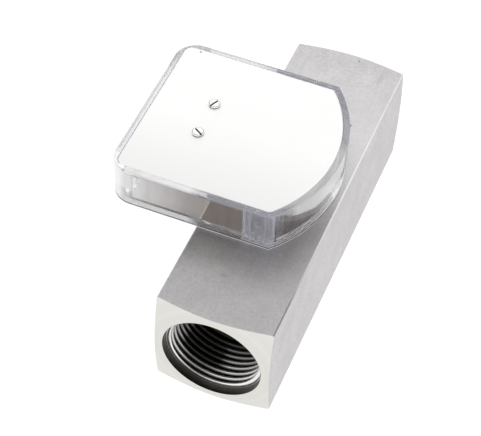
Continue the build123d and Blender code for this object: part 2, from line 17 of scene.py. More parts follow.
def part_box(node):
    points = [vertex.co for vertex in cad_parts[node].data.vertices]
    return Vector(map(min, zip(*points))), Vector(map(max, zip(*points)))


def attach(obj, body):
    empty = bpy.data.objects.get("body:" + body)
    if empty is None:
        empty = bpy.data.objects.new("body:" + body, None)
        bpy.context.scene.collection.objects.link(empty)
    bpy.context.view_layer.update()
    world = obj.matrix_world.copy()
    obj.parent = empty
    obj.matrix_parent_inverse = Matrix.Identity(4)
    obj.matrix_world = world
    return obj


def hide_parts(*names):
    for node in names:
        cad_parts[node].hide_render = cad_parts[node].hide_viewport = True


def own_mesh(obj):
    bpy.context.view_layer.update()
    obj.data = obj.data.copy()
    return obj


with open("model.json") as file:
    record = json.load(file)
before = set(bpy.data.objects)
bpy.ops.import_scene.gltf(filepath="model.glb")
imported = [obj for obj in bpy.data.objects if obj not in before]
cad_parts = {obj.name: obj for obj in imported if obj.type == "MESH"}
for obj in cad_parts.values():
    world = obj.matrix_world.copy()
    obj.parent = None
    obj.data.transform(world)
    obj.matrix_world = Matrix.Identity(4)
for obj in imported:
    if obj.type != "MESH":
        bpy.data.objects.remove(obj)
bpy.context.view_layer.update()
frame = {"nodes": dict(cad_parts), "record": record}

MM = 0.001

# %% [markdown]
# ## Sizes that the pieces share
# A piece made here has to sit on the solid that carries it, so its size is read from that solid
# where a box can say it. The rest are the port's: a parallel pipe thread of 33.25 mm with 11
# turns to the inch, behind a recess in a shallow cone. Finishes change between two places, so a
# helper turns two distances into a pair of places.

# %% Sizes
bar_low, bar_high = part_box("meter_body")
BORE_HEIGHT = (bar_low.z + bar_high.z) / 2
BAR_TOP = bar_high.z
BAR_SIDE = bar_high.z - bar_low.z
BAR_END = bar_high.y
END_FACE_R = 19.0 * MM
END_CONE = math.tan(math.radians(15.0))
THREAD_ROOT_R = 16.62 * MM
THREAD_CREST_R = 15.15 * MM
THREAD_PITCH = 25.4 * MM / 11
RECESS_DEPTH = 2.7 * MM
THREAD_DEPTH = 21.0 * MM


def span(low, high, start=0.0):
    """Two places in metres, given in millimetres from a start."""
    return start + low * MM, start + high * MM


print("bar end at", round(BAR_END / MM, 2), "mm, bore height", round(BORE_HEIGHT / MM, 2), "mm")

# %% [markdown]
# ## Writing node trees as expressions
# A finish is a formula, such as "grain plus streaks, but only away from the ends". Wiring Math
# nodes by hand hides that formula. A small class that stands for a node's output and answers
# to +, -, * and / lets the formula be written as it is thought, for finishes and for
# Geometry Nodes alike.

# %% Values and trees
def operator(operation, reflected=False):
    """A method that adds one Math node. Reflected, it takes the other value first, as in 1 - mask."""

    def method(self, *other):
        values = (*other, self) if reflected else (self, *other)
        return self.tree.maths(operation, *values)

    return method


class Value:
    """What comes out of a node, for use in an expression."""

    def __init__(self, tree, socket):
        self.tree = tree
        self.socket = socket

    __add__, __radd__ = operator("ADD"), operator("ADD", reflected=True)
    __sub__, __rsub__ = operator("SUBTRACT"), operator("SUBTRACT", reflected=True)
    __mul__, __rmul__ = operator("MULTIPLY"), operator("MULTIPLY", reflected=True)
    __truediv__, __rtruediv__ = operator("DIVIDE"), operator("DIVIDE", reflected=True)
    __pow__, __abs__ = operator("POWER"), operator("ABSOLUTE")


class Tree:
    """One node tree. Every node that isn't plain maths comes from its node method."""

    def __init__(self, tree):
        self.tree = tree

    @staticmethod
    def pick(sockets, key):
        """The socket with the given number, identifier or name."""
        if isinstance(key, int):
            return sockets[key]
        for socket in sockets:
            if socket.identifier == key:
                return socket
        return sockets[key]

    def node(self, kind, settings=None, sockets=None, output=0):
        made = self.tree.nodes.new(kind)
        for name, setting in (settings or {}).items():
            if name == "stops":
                ramp = made.color_ramp
                while len(ramp.elements) < len(setting):
                    ramp.elements.new(1.0)
                for element, (place, colour) in zip(ramp.elements, setting):
                    element.position = place
                    element.color = (*colour, 1.0)
            else:
                setattr(made, name, setting)
        for key, value in (sockets or {}).items():
            socket = self.pick(made.inputs, key)
            if isinstance(value, Value):
                self.tree.links.new(value.socket, socket)
            elif socket.type == "RGBA" and len(value) == 3:
                socket.default_value = (*value, 1.0)
            else:
                socket.default_value = value
        return Value(self, self.pick(made.outputs, output)) if made.outputs else made

    def maths(self, operation, *values):
        return self.node("ShaderNodeMath", {"operation": operation}, dict(enumerate(values)))

    def vector(self, x=0.0, y=0.0, z=0.0):
        return self.node("ShaderNodeCombineXYZ", sockets={"X": x, "Y": y, "Z": z})

    def most(self, *values):
        """The largest of the values at each place."""
        largest = values[0]
        for value in values[1:]:
            largest = self.maths("MAXIMUM", largest, value)
        return largest

    def rise(self, value, low, high, start=0.0, end=1.0):
        """Start below low, end above high, and a straight rise between."""
        return self.node(
            "ShaderNodeMapRange",
            sockets={"Value": value, "From Min": low, "From Max": high, "To Min": start, "To Max": end},
        )

    def fall(self, value, low, high, start=1.0):
        """Start below low, nothing above high, and a straight fall between."""
        return self.rise(value, low, high, start, 0.0)

    def between(self, value, low, high, soft=0.05 * MM):
        """1 where the value lies from low to high, 0 elsewhere."""
        return self.rise(value, low - soft, low + soft) * self.fall(value, high - soft, high + soft)


finishes = {}


class Finish(Tree):
    """The node tree of one material, read from the piece's own place in metres."""

    def __init__(self, name):
        self.name = name
        self.material = bpy.data.materials.new(name)
        self.material.use_nodes = True
        super().__init__(self.material.node_tree)
        self.tree.nodes.clear()
        self.place = self.node("ShaderNodeTexCoord", output="Object")

    def axes(self):
        kind = "ShaderNodeSeparateXYZ"
        parts = {"Vector": self.place}
        return [self.node(kind, sockets=parts, output=axis) for axis in "XYZ"]

    def noise(self, size, detail=2.0, stretch=(1.0, 1.0, 1.0), where=None, rough=0.5):
        """Soft random values from 0 to 1 whose patches are about size metres across."""
        scaled = self.node(
            "ShaderNodeMapping",
            {"vector_type": "POINT"},
            {"Vector": where or self.place, "Scale": tuple(1 / s for s in stretch)},
        )
        sockets = {"Vector": scaled, "Scale": 1 / size, "Detail": detail, "Roughness": rough}
        return self.node("ShaderNodeTexNoise", sockets=sockets, output="Fac")

    def blend(self, first, second, share):
        """The first colour where share is 0, the second where it is 1."""
        sockets = {"Factor_Float": share, "A_Color": first, "B_Color": second}
        return self.node("ShaderNodeMix", {"data_type": "RGBA"}, sockets, "Result_Color")

    def speck(self, spot, size):
        """1 at a small mark round a point, 0 away from it."""
        apart = 0.0
        for axis, at, reach in zip(self.axes(), spot, size):
            apart = ((axis - at) / reach) ** 2.0 + apart
        return self.fall(apart, 0.1, 1.6)

    def bump(self, height, depth):
        """A surface raised by height times depth metres."""
        return self.node("ShaderNodeBump", sockets={"Height": height, "Distance": depth, "Strength": 1.0})

    def shader(self, **sockets):
        named = {key.replace("_", " "): value for key, value in sockets.items()}
        return self.node("ShaderNodeBsdfPrincipled", sockets=named)

    def surface(self, **sockets):
        self.ends_with(self.shader(**sockets))

    def ends_with(self, shader):
        """Closes the tree and keeps the material under its name."""
        self.node("ShaderNodeOutputMaterial", sockets={"Surface": shader})
        finishes[self.name] = self.material
        print("finish:", self.name, "with", len(self.tree.nodes), "nodes")


# %% [markdown]
# ## The bar's steel
# The bar's long faces are drawn and then fine blasted: a satin grey with a grain that is just
# visible, faint streaks along the bar and soft clouds. The top has a painted sheen behind the
# housing and a painted shade of the housing in front of it, and the side has darker streaks.
# Each look is a blend of two colours, and a zone is a value that is 1 inside it and 0 outside.

# %% The bar's long faces
TOP_BORDER = span(-0.6, -0.2, BAR_TOP)
SIDE_BORDER = span(-0.1, -0.05, BAR_SIDE / 2)
# Where the top carries a painted sheen and the housing's painted shade.
SHEEN_STARTS, SHEEN_FADES = span(-22.0, 6.0), span(20.0, 64.0)
HOUSING_SHADE_FADES = span(-18.0, 0.0)
CLOUD_SIZE = 11.0 * MM
SATIN_DARK, SATIN_LIGHT = (0.42, 0.405, 0.41), (0.665, 0.648, 0.65)
SHEEN_TONE, HOUSING_SHADE_TONE, SIDE_TONE = (0.80, 0.79, 0.80), (0.30, 0.29, 0.292), (0.36, 0.36, 0.335)


def satin_faces(steel, grain, streaks):
    """The colour of the long faces."""
    x, y, z = steel.axes()
    clouds = steel.noise(CLOUD_SIZE, detail=4.0, rough=0.65)
    satin = steel.blend(SATIN_DARK, SATIN_LIGHT, 1.9 * grain + 0.35 * streaks + 0.8 * clouds - 1.02)
    on_top = steel.rise(z, *TOP_BORDER)
    # Painted sheen on the top behind the housing, painted shade of the housing in front of it.
    sheen = steel.rise(y, *SHEEN_STARTS) * steel.rise(y, *SHEEN_FADES, 0.50, 0.10)
    housing_shade = steel.fall(y, *HOUSING_SHADE_FADES, 0.34)
    satin = steel.blend(satin, SHEEN_TONE, on_top * sheen)
    satin = steel.blend(satin, HOUSING_SHADE_TONE, on_top * housing_shade)
    streaked = steel.rise(streaks, 0.42, 0.62, 0.02, 0.16)
    return steel.blend(satin, SIDE_TONE, steel.rise(x, *SIDE_BORDER) * streaked)


# %% [markdown]
# The port's walls are painted dark as shade. The crests of the thread, the step in front of it
# and the mouth are the exception: they carry a painted highlight. Deeper in, less light arrives, so
# both the painted shade and the highlights get darker there. One side of the bore lies in shade:
# the share of the radius that points to that side tells how much.

# %% The port's colours
SHADE_SIDE = math.radians(240)
SHADE_FADES = span(57.0, 62.0)
CREST_BORDER = (THREAD_CREST_R + 0.2 * MM, 16.0 * MM)
STEP_MIDDLE_R = 16.87 * MM
STEP_BORDER = span(0.17, 0.20)
MOUTH_STARTS, MOUTH_BORDER = span(62.5, 62.8), span(17.02, 17.06)
DEEP_SHADE_FADES, HIGHLIGHT_STARTS = span(44.0, 63.0), span(46.0, 64.0)
PORT_SHADE_DARK, PORT_SHADE_LIGHT = (0.045, 0.042, 0.036), (0.085, 0.08, 0.072)
PORT_DEEP_SHADE, PORT_SIDE_SHADE = (0.02, 0.02, 0.016), (0.012, 0.012, 0.009)
CREST_HIGHLIGHT = (0.90, 0.89, 0.87)


def port_walls(steel, radius, reach, grain):
    """The colour inside the port, from the distance to its axis and to the bar's middle."""
    x, _, z = steel.axes()
    to_shade = (x * math.cos(SHADE_SIDE) + (z - BORE_HEIGHT) * math.sin(SHADE_SIDE)) / radius
    shaded = steel.rise(to_shade, 0.68, 0.90) * steel.fall(reach, *SHADE_FADES)
    crest = steel.fall(radius, *CREST_BORDER) * (1.0 - 0.95 * shaded)
    mouth = steel.rise(reach, *MOUTH_STARTS) * steel.fall(radius, *MOUTH_BORDER)
    step = steel.fall(abs(radius - STEP_MIDDLE_R), *STEP_BORDER)
    # Painted highlight on the crests, the step and the mouth.
    lit_crests = steel.most(crest, step, mouth)
    lit_crests = steel.maths("MINIMUM", lit_crests, steel.rise(reach, *HIGHLIGHT_STARTS))
    lit_crests = lit_crests * (1.0 - steel.rise(to_shade, 0.90, 0.99, 0.0, 0.55))
    # Painted shade that darkens the walls, most deep in and on the shaded side.
    wall_shade = steel.blend(PORT_SHADE_DARK, PORT_SHADE_LIGHT, grain)
    wall_shade = steel.blend(PORT_DEEP_SHADE, wall_shade, steel.rise(reach, *DEEP_SHADE_FADES))
    wall_shade = steel.blend(wall_shade, PORT_SIDE_SHADE, shaded)
    return steel.blend(wall_shade, CREST_HIGHLIGHT, lit_crests)


# %% [markdown]
# The two ends are turned on a lathe, so they are brighter and carry fine rings about the bore.
# They are shallow cones: away from the face round the port, they fall back with the radius. The
# bar's upper right edge carries a painted highlight, and near the port a painted shade. A few
# stains lie on the top: each has a middle, a size and a shade, so a short list places them.

# %% Bar steel
GRAIN_SIZE, STREAK_WIDTH = 0.9 * MM, 1.4 * MM
FINE_RING, WIDE_RING = 0.22 * MM, 1.5 * MM
GRAIN_DEPTH = 0.02 * MM
PORT_BORDER = span(17.2, 17.3)
CONE_BORDER = span(-0.06, -0.02)
EDGE_BORDER = span(-0.46, -0.41, BAR_SIDE / 2 + BAR_TOP)
EDGE_HIGHLIGHT_STARTS, EDGE_SHADE_FADES = span(-40.0, -20.0), span(-50.0, -40.0)
LATHE_DARK, LATHE_LIGHT = (0.60, 0.59, 0.55), (0.76, 0.745, 0.71)
EDGE_HIGHLIGHT, EDGE_SHADE = (0.88, 0.88, 0.90), (0.08, 0.08, 0.08)
STAINS = [
    ((11.2, 32.0), (0.35, 0.7), 0.12),
    ((3.2, 63.6), (0.35, 0.5), 0.25),
    ((-3.7, -47.2), (1.5, 0.7), 0.36),
    ((13.2, 58.0), (0.9, 3.5), 0.48),
    ((-14.6, 53.5), (0.7, 5.0), 0.54),
]


def bar_steel():
    steel = Finish("bar_steel")
    x, y, z = steel.axes()
    radius = (x * x + (z - BORE_HEIGHT) ** 2.0) ** 0.5
    reach = abs(y)
    grain = steel.noise(GRAIN_SIZE, detail=4.0, rough=0.75)
    streaks = steel.noise(STREAK_WIDTH, detail=3.0, stretch=(1.0, 9.0, 1.0), rough=0.6)
    fine_rings = steel.noise(FINE_RING, detail=3.0, where=steel.vector(radius, reach * 0.4))
    wide_rings = steel.noise(WIDE_RING, detail=2.0, where=steel.vector(radius, reach * 0.3))
    rings = 0.45 * fine_rings + 0.9 * wide_rings - 0.15
    cone = steel.maths("MINIMUM", BAR_END - (radius - END_FACE_R) * END_CONE, BAR_END)
    in_port = steel.fall(radius, *PORT_BORDER)
    turned = steel.most(steel.rise(reach - cone, *CONE_BORDER), in_port)
    lathe = steel.blend(LATHE_DARK, LATHE_LIGHT, rings)
    colour = steel.blend(satin_faces(steel, grain, streaks), lathe, turned)
    colour = steel.blend(colour, port_walls(steel, radius, reach, grain), in_port)
    uneven = steel.rise(grain + streaks, 0.75, 1.15, 0.35, 1.0)
    for (across, along), (width, length), shade in STAINS:
        middle = (across * MM, along * MM, BAR_TOP)
        stain = steel.speck(middle, (width * MM, length * MM, MM)) * uneven
        colour = steel.blend(colour, (shade, shade, shade), stain)
    # Painted highlight along the upper right edge, and painted shade on it near the port.
    long_edge = steel.rise(x + z, *EDGE_BORDER)
    colour = steel.blend(colour, EDGE_HIGHLIGHT, long_edge * steel.rise(y, *EDGE_HIGHLIGHT_STARTS, 0.0, 0.35))
    colour = steel.blend(colour, EDGE_SHADE, long_edge * steel.fall(y, *EDGE_SHADE_FADES, 0.6))
    height = (1.0 - turned) * (0.85 * grain + 0.15 * streaks) + 0.25 * turned * rings
    steel.surface(
        Base_Color=colour,
        Metallic=1.0,
        Roughness=0.42 + 0.12 * grain - 0.10 * turned,
        Normal=steel.bump(height, GRAIN_DEPTH),
    )


bar_steel()
print("stains:", len(STAINS))

# %% [markdown]
# ## Turned steel, wire and screws
# The metering parts inside the bore are turned and smooth. The spring's wire is drawn, with
# fine lines, and the screws are bright with a slightly uneven plating. They differ only in
# colour, grain and gloss, so one helper takes those as numbers.

# %% Other metals
METALS = {
    "inner_steel": ((0.55, 0.55, 0.55), (0.74, 0.74, 0.73), 0.26, 0.35 * MM, (6.0, 1.0, 6.0)),
    "spring_steel": ((0.48, 0.48, 0.50), (0.66, 0.66, 0.67), 0.22, 0.15 * MM),
    "screw_steel": ((0.62, 0.61, 0.60), (0.86, 0.86, 0.85), 0.24, 0.25 * MM),
    "dull_pins": ((0.20, 0.20, 0.21), (0.32, 0.32, 0.33), 0.5, 0.25 * MM),
    "brass": ((0.60, 0.42, 0.17), (0.78, 0.60, 0.30), 0.25, 0.3 * MM),
    "arm_metal": ((0.62, 0.62, 0.64), (0.78, 0.78, 0.79), 0.33, 0.3 * MM, (8.0, 1.0, 1.0)),
}
METAL_CLOUDS = 9.0 * MM
METAL_DEPTH = 0.004 * MM


def metal(name, dark, light, rough, grain_size, stretch=(1.0, 1.0, 1.0)):
    """A bare metal with a fine grain between two colours."""
    finish = Finish(name)
    grain = finish.noise(grain_size, detail=3.0, stretch=stretch)
    clouds = finish.noise(METAL_CLOUDS)
    finish.surface(
        Base_Color=finish.blend(dark, light, 0.5 * grain + 0.5 * clouds),
        Metallic=1.0,
        Roughness=rough + 0.12 * (grain - 0.5),
        Normal=finish.bump(grain, METAL_DEPTH),
    )


for name, look in METALS.items():
    metal(name, *look)

# %% [markdown]
# The two screws of the face plate are polished, and what makes them read as screws is painted
# shade: in the slot, in a thin line round the foot and in another line inside the rim. Both heads
# get one finish, so the distance is taken to the nearer head, and each shaded place is a zone of it.

# %% Slotted heads
HEAD_SHADE = (0.07, 0.068, 0.066)
HEAD_GRAIN = 0.3 * MM
RIM_LINE = 0.2 * MM
LINE_BORDER = span(0.10, 0.15)
SLOT_BORDER = span(0.10, 0.20)
FOOT_BORDER = span(0.45, 0.60)


def slotted_heads():
    finish = Finish("slotted_heads")
    x, y, z = finish.axes()
    low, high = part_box("plate_screws")
    head_r = (high.x - low.x) / 2
    far_x = (x - (low.x + high.x) / 2) ** 2.0
    radii = [(far_x + (y - middle) ** 2.0) ** 0.5 for middle in (low.y + head_r, high.y - head_r)]
    radius = finish.maths("MINIMUM", *radii)
    below_top = high.z - z
    inside = finish.fall(radius, *span(-0.16, -0.10, head_r))
    slot = inside * finish.rise(below_top, *SLOT_BORDER)
    foot = (1.0 - inside) * finish.rise(below_top, *FOOT_BORDER)
    rim = finish.fall(abs(radius - (head_r - RIM_LINE)), *LINE_BORDER, 0.75)
    # Painted shade in the slot, round the foot and inside the rim.
    dark = finish.most(slot, 0.95 * foot, rim)
    grain = finish.noise(HEAD_GRAIN, detail=3.0)
    polished = finish.blend((0.90, 0.90, 0.89), (0.98, 0.98, 0.975), grain)
    finish.surface(
        Base_Color=finish.blend(polished, HEAD_SHADE, dark),
        Metallic=1.0 - 0.7 * dark,
        Roughness=0.22 + 0.3 * dark,
        Normal=finish.bump(grain, METAL_DEPTH),
    )


slotted_heads()

# %% [markdown]
# ## The face plate
# The plate is a thin bright metal sheet with an almost white satin face. Seen from the camera
# it is close to the paper white of the background, and a painted shade makes it a touch darker
# towards the front.
# One small dark mark lies near its rear corner.

# %% Face plate
PLATE_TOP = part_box("face_plate")[1].z
PLATE_DARK, PLATE_LIGHT = (0.87, 0.866, 0.862), (0.915, 0.912, 0.908)
PLATE_FRONT_SHADE = (0.80, 0.797, 0.79)
PLATE_GRAIN, PLATE_CLOUDS, PLATE_DEPTH = 0.5 * MM, 22.0 * MM, 0.003 * MM
PLATE_SHADE_GROWS = span(0.0, -31.0)
PLATE_MARK = (-44.4 * MM, 29.5 * MM, PLATE_TOP)
MARK_SIZE = (0.3 * MM, 0.5 * MM, MM)


def plate_metal():
    plate = Finish("plate_metal")
    grain = plate.noise(PLATE_GRAIN, detail=3.0)
    clouds = plate.noise(PLATE_CLOUDS)
    colour = plate.blend(PLATE_DARK, PLATE_LIGHT, 0.35 * grain + 0.65 * clouds)
    # Painted shade that makes the plate a touch darker towards the front.
    front_shade = plate.rise(plate.axes()[1], *PLATE_SHADE_GROWS)
    colour = plate.blend(colour, PLATE_FRONT_SHADE, front_shade)
    mark = plate.speck(PLATE_MARK, MARK_SIZE)
    plate.surface(
        Base_Color=plate.blend(colour, (0.25, 0.24, 0.24), mark),
        Metallic=0.85,
        Roughness=0.42 + 0.08 * grain,
        Normal=plate.bump(grain, PLATE_DEPTH),
    )


plate_metal()
print("plate top at", round(PLATE_TOP / MM, 2), "mm")

# %% [markdown]
# ## Clear plastic
# The housing is moulded from a clear plastic, and its walls are never quite flat, so slow waves
# bend what is seen through them. Where it is thick, as in the posts and in the rim, the light
# runs a long way through it, and that light is painted: a dull shader is mixed in by zones. The
# lines along the foot are painted the same way: a highlight on the lowest edge, and shade in the
# seam above it. The zones are told by place, so the first step is to name the places.

# %% Places on the housing
FLOOR_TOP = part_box("housing_base")[1].z
cap_low, cap_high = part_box("housing_cap")
REAR_X = cap_low.x
CAP_TOP = cap_high.z
PIVOT_Y = (cap_low.y + cap_high.y) / 2
BAR_EDGE = span(-23.0, -19.0)
NOSE_POST = span(-3.9, 6.9)
POST_SIDE = span(25.4, 25.5)
REAR_POST = span(4.5, 9.0, REAR_X)
MIDDLE = span(-1.0, 1.0, PIVOT_Y)
FRONT_FACE = span(-32.2, -32.0, PIVOT_Y)
WINDOW_FOOT, WINDOW_TOP = 43.4 * MM, CAP_TOP - 1.5 * MM
print("cap top at", round(CAP_TOP / MM, 2), "mm, its middle at", round(PIVOT_Y / MM, 2), "mm along the bar")

# %% [markdown]
# The posts carry painted light in fine upright streaks, and the rear corners carry painted light,
# most on the inlet's side. The rim has an even painted light and a painted grey shade band along
# its rear side. A small painted glint with a painted dark border lies in the rim at the rear
# corner: its shape is all that is near a point, when distance is counted along two slanted
# lines, which gives a diamond.

# %% Posts and rim
POST_STREAK = 1.2 * MM
RIM_START = span(-1.2, -0.9, CAP_TOP)
FRONT_RIM = span(-30.2, -29.9, PIVOT_Y)
BAND_ACROSS, BAND_ALONG = span(0.5, 1.2, REAR_X), span(-24.0, 26.0, PIVOT_Y)
GLINT_X, GLINT_Y = -47.4 * MM, -29.4 * MM
GLINT_WIDTH, GLINT_LENGTH = 1.3 * MM, 2.2 * MM


def in_posts(clear):
    """Where the nose is, and the painted light in the posts there and at the rear corners."""
    x, y, _ = clear.axes()
    side = clear.rise(abs(y - PIVOT_Y), *POST_SIDE)
    streaks = clear.noise(POST_STREAK, stretch=(1.0, 1.0, 14.0))
    nose = clear.between(x, *NOSE_POST)
    # Painted light in the nose post's streaks and in the rear corners.
    nose_light = nose * side * clear.rise(streaks, 0.30, 0.70, 0.12, 0.42)
    rear_light = side * clear.fall(x, *REAR_POST, 0.58) * clear.rise(y, *MIDDLE, 1.0, 0.5)
    return nose, nose_light, rear_light


def in_rim(clear, over_bar):
    """The rim, its painted light, its painted grey shade band, and the painted glint with its dark border.
    """
    x, y, z = clear.axes()
    on_rim = clear.rise(z, *RIM_START)
    front = clear.fall(y, *FRONT_RIM, 0.15) * (1.0 - over_bar)
    # Painted light on the rim, and a painted grey shade band along its rear side.
    rim_light = on_rim * (0.34 - 0.04 * over_bar + front)
    band = on_rim * clear.between(x, *BAND_ACROSS, soft=0.3 * MM) * clear.between(y, *BAND_ALONG, soft=MM)
    # A painted glint with a painted dark border, shaped as a diamond.
    across = (0.83 * (x - GLINT_X) + 0.55 * (y - GLINT_Y)) / GLINT_WIDTH
    along = (0.42 * (x - GLINT_X) - 0.91 * (y - GLINT_Y)) / GLINT_LENGTH
    away = abs(across) + abs(along)
    glint = on_rim * clear.fall(away, 0.85, 1.0)
    border = on_rim * clear.between(away, 1.05, 1.3, soft=0.05) * clear.rise(across + along, 0.5, 0.9)
    return on_rim, rim_light, band, glint, border


# %% [markdown]
# The front wall has painted light along its foot and towards the rear corner. Over the bar it
# has a warm painted light, and a painted dark line of shade ends the post at the nose. In the
# curved wall the plate's white underside is seen again as a pale leaf, a painted reflection
# whose lower border rises towards the inlet.

# %% Foot and walls
LOWEST_LINE, SEAM_LINE = span(0.15, 0.50, BAR_TOP), span(0.60, 1.00, BAR_TOP)
LEDGE_LINE, LEDGE_STARTS = span(1.15, 1.40, BAR_TOP), span(-4.9, -3.9)
LOW_WALL = (41.1 * MM, WINDOW_FOOT)
WARM_WALL = (43.0 * MM, WINDOW_TOP)
REAR_WALL_FADES = span(8.0, 21.0, REAR_X)
POST_LINE, POST_LINE_UP = span(-30.8, -30.35, PIVOT_Y), span(42.6, 50.5)
POST_LINE_STARTS, LEAF_STARTS = span(5.9, 6.1), span(5.4, 6.2)
LEAF, LEAF_SLOPE = span(-26.0, 6.0, PIVOT_Y), span(-26.0, -16.0, PIVOT_Y)
LEAF_FOOT, LEAF_BORDER = span(52.0, 48.3), span(0.0, 0.25)


def along_foot(clear):
    """The three thin painted lines of the foot: a highlight on the lowest edge, shade in the seam and a
    highlight on the ledge above it.
    """
    x, _, z = clear.axes()
    # Painted highlights on the lowest edge and the ledge, painted shade in the seam.
    ledge = clear.between(z, *LEDGE_LINE) * clear.rise(x, *LEDGE_STARTS)
    return clear.between(z, *LOWEST_LINE), clear.between(z, *SEAM_LINE), ledge


def in_walls(clear, over_bar, nose):
    """The painted light in the walls: brightness, warm light, the shaded end of the post, and the reflected
    leaf.
    """
    x, y, z = clear.axes()
    front = clear.fall(y, *FRONT_FACE)
    outer = front * (1.0 - over_bar)
    # Painted light on the front wall along its foot and towards the rear corner.
    low_wall = clear.between(z, *LOW_WALL) * outer * 0.45
    rear_wall = clear.between(z, WINDOW_FOOT, WINDOW_TOP) * outer * clear.fall(x, *REAR_WALL_FADES, 0.28)
    warm_light = front * over_bar * clear.between(z, *WARM_WALL) * (1.0 - nose)
    # A painted dark line of shade at the end of the nose's post.
    post_line = clear.between(y, *POST_LINE) * clear.between(z, *POST_LINE_UP)
    post_line = post_line * clear.rise(x, *POST_LINE_STARTS)
    # The pale leaf, a painted reflection of the plate's underside.
    above_foot = z - clear.rise(y, *LEAF_SLOPE, *LEAF_FOOT)
    leaf = clear.rise(above_foot, *LEAF_BORDER) * clear.rise(x, *LEAF_STARTS)
    leaf = leaf * clear.between(y, *LEAF, soft=2.0 * MM)
    return clear.most(low_wall, rear_wall), warm_light, post_line, leaf


# %% [markdown]
# Each zone has its own share of painted light, and where two overlap, the larger share counts.
# The painted light is violet by itself, white in the highlights, warm or grey in two others, and
# nearly black as painted shade in the seam and the two dark borders.

# %% Clear plastic
VIOLET_GLOW, WHITE_GLOW = (0.60, 0.60, 0.68), (0.97, 0.97, 0.97)
WARM_GLOW, GREY_SHADE, SHADE_LINE = (0.72, 0.58, 0.50), (0.44, 0.44, 0.46), (0.05, 0.05, 0.06)
CLEAR_TINT = (0.962, 0.96, 0.975)
WAVE_SIZE, WAVE_DEPTH = 9.0 * MM, 0.03 * MM


def clear_plastic(name, shade=None):
    """Clear moulded plastic with painted light and shade by zones. A shade gives the glass its colour from
    its place.
    """
    clear = Finish(name)
    glass = clear.shader(
        Base_Color=shade(clear) if shade else CLEAR_TINT,
        Transmission_Weight=0.98,
        IOR=1.49,
        Roughness=0.02,
        Normal=clear.bump(clear.noise(WAVE_SIZE), WAVE_DEPTH),
    )
    over_bar = clear.rise(clear.axes()[0], *BAR_EDGE)
    nose, nose_light, rear_light = in_posts(clear)
    on_rim, rim_light, rim_band, glint, glint_border = in_rim(clear, over_bar)
    lowest, seam, ledge = along_foot(clear)
    lit_wall, warm_light, post_line, leaf = in_walls(clear, over_bar, nose)
    # Shares of painted light and shade in each zone; where two overlap, the larger counts.
    foot_lines = clear.most(0.9 * lowest + 0.6 * seam, 0.6 * ledge)
    rim_light = clear.most(rim_light, 0.5 * rim_band, 0.95 * glint + 0.6 * glint_border)
    wall_light = clear.most(lit_wall, 0.14 * warm_light, 0.85 * post_line, 0.32 * leaf)
    light_share = clear.most(nose_light, rear_light, rim_light, foot_lines, wall_light)
    highlight = clear.most(lowest + ledge, leaf + 3.0 * (rear_light + lit_wall), on_rim * (1.0 - over_bar))
    colour = clear.blend(VIOLET_GLOW, WHITE_GLOW, highlight)
    colour = clear.blend(colour, WARM_GLOW, warm_light)
    colour = clear.blend(colour, GREY_SHADE, rim_band)
    colour = clear.blend(colour, SHADE_LINE, clear.most(seam, post_line, 0.6 * glint_border))
    painted_light = clear.shader(Base_Color=colour, Roughness=0.3)
    clear.ends_with(clear.node("ShaderNodeMixShader", sockets={0: light_share, 1: glass, 2: painted_light}))


clear_plastic("clear_plastic")

# %% [markdown]
# The housing's floor lies in shade, so its raised part has a painted shadow that gets darker
# towards the bar, while the flange round it stays clear. Over the bar itself it is nearly clear
# again. The borders of the painted shadow run at a slant to the bar, as the shade does on the floor.

# %% Painted shadow on the floor
SLANT = 0.367
PATCH_SIZE = 2.4 * MM
SHADOW_DARKENS, SHADOW_DEEPENS = span(-66.0, -30.0), span(-40.0, -29.0)
OVER_BAR_STARTS, FAR_SHADE_STARTS = span(-19.5, -19.0), span(-30.0, -20.0)
RAISED_PART = span(-0.3, -0.1, FLOOR_TOP)
SHADOW_LIGHT, SHADOW_DARK, SHADOW_DEEP = (0.50, 0.465, 0.43), (0.036, 0.029, 0.023), (0.011, 0.0105, 0.010)
OVER_BAR, PATCH, FAR_SHADE = (0.98, 0.86, 0.80), (0.10, 0.07, 0.05), (0.03, 0.025, 0.02)


# Painted shadow of the housing on the table, seen through the housing's floor.
def floor_shadow(clear):
    x, y, z = clear.axes()
    across = x + SLANT * y
    patches = clear.noise(PATCH_SIZE, where=clear.vector(across, y / 9.0))
    shadow_tone = clear.blend(SHADOW_LIGHT, SHADOW_DARK, clear.rise(across, *SHADOW_DARKENS))
    shadow_tone = clear.blend(shadow_tone, SHADOW_DEEP, clear.rise(across, *SHADOW_DEEPENS))
    shadow_tone = clear.blend(shadow_tone, OVER_BAR, clear.rise(x, *OVER_BAR_STARTS))
    shadow_tone = clear.blend(shadow_tone, PATCH, clear.rise(patches, 0.40, 0.75, 0.0, 0.4))
    shadow_tone = clear.blend(shadow_tone, FAR_SHADE, clear.rise(y, *FAR_SHADE_STARTS, 0.0, 0.12))
    return clear.blend(CLEAR_TINT, shadow_tone, clear.rise(z, *RAISED_PART))


clear_plastic("smoky_plastic", floor_shadow)
print("floor top at", round(FLOOR_TOP / MM, 2), "mm")

# %% [markdown]
# ## Rubber, ferrite, bearing plastic and paint
# What is left is small and dull: black seals, dark sintered magnets, off-white bearings and
# the matt red-brown flag. A grain in colour and gloss is enough at their size.

# %% Dull finishes
DULL_LOOKS = {
    "seal_rubber": ((0.015, 0.015, 0.015), (0.04, 0.04, 0.04), 0.62, 0.4 * MM, 0.01 * MM),
    "magnet_black": ((0.05, 0.05, 0.055), (0.11, 0.11, 0.115), 0.5, 0.3 * MM, 0.01 * MM),
    "bush_plastic": ((0.78, 0.77, 0.72), (0.88, 0.87, 0.83), 0.45, 0.5 * MM, 0.004 * MM),
}


